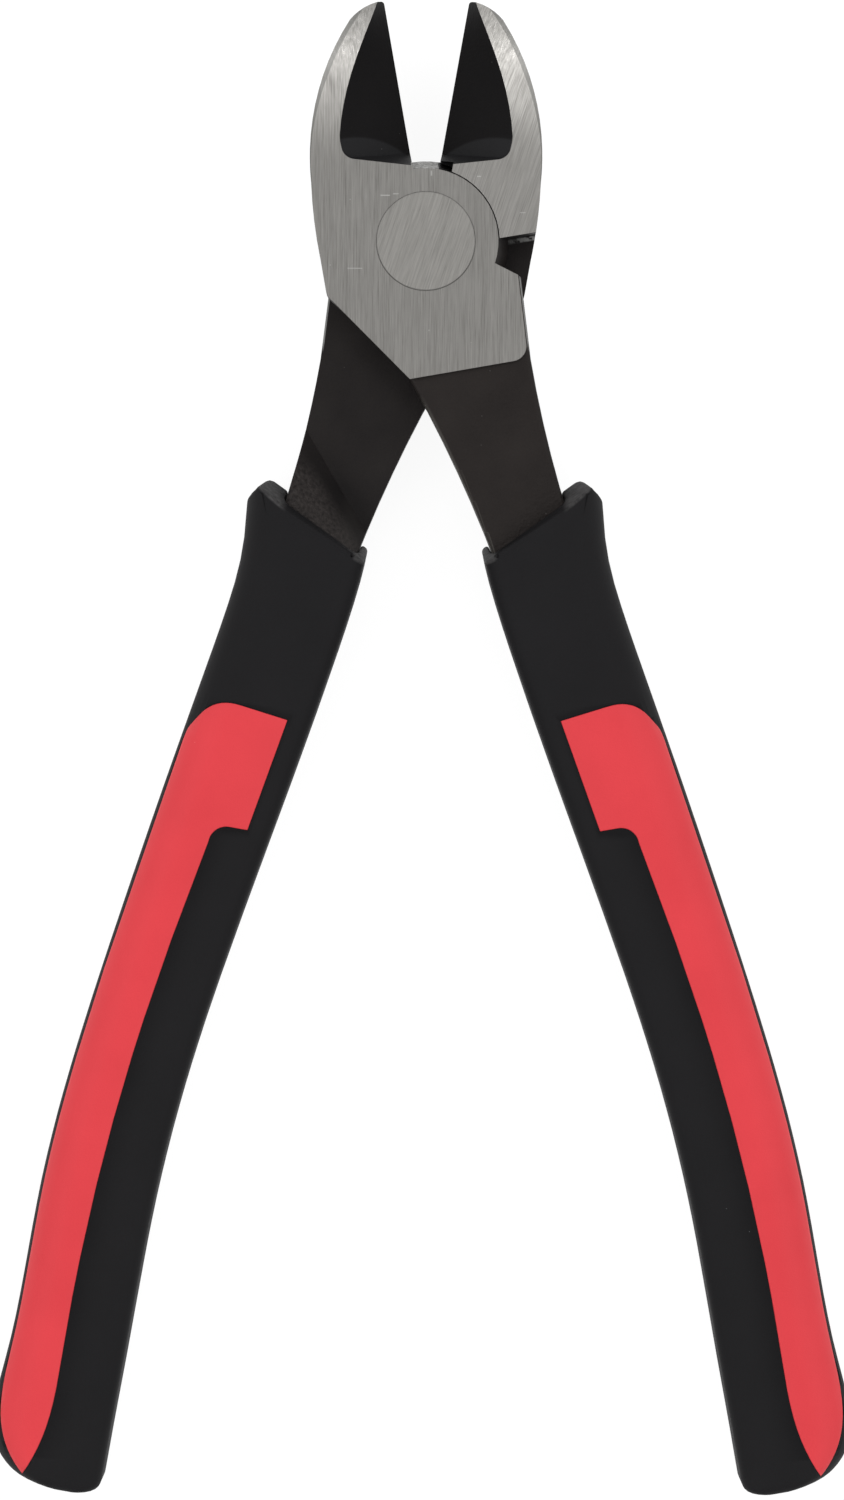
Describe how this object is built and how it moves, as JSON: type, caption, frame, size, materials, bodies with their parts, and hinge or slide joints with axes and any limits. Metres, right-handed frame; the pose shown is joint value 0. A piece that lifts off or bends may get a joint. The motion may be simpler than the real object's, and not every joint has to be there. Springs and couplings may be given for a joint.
{
  "type": "diagonal cutting pliers",
  "caption": "Lap-jointed diagonal cutting pliers with ground jaws, black-finished legs and two-colour moulded grips.",
  "frame": {"origin": "on the pivot axis, in the plane of the ground rear face of the head", "axes": "+Y from the pivot between the jaw tips, +Z along the pivot axis towards the front face, +X towards the right-hand grip's side"},
  "size_m": [0.112, 0.1945, 0.0175],
  "materials": {
    "forged_steel": "ground bright on the head, black oxide on the legs and inside the cutting hollows",
    "rivet_steel": "ground flush",
    "grip_black": "matte moulded",
    "grip_red": "soft satin"
  },
  "bodies": {
    "rear_plier_half": {"rear_half": "forged_steel", "pivot_rivet": "rivet_steel", "left_grip_sleeve": "grip_black", "left_front_inlay": "grip_red", "left_rear_inlay": "grip_red"},
    "front_plier_half": {"front_half": "forged_steel", "right_grip_sleeve": "grip_black", "right_front_inlay": "grip_red", "right_rear_inlay": "grip_red"}
  },
  "joints": [
    {"name": "pivot_hinge", "type": "hinge", "parent": "rear_plier_half", "child": "front_plier_half", "pos_m": [0, 0, 0.00575], "axis": [0, 0, 1], "range_deg": [-20, 18]}
  ]
}
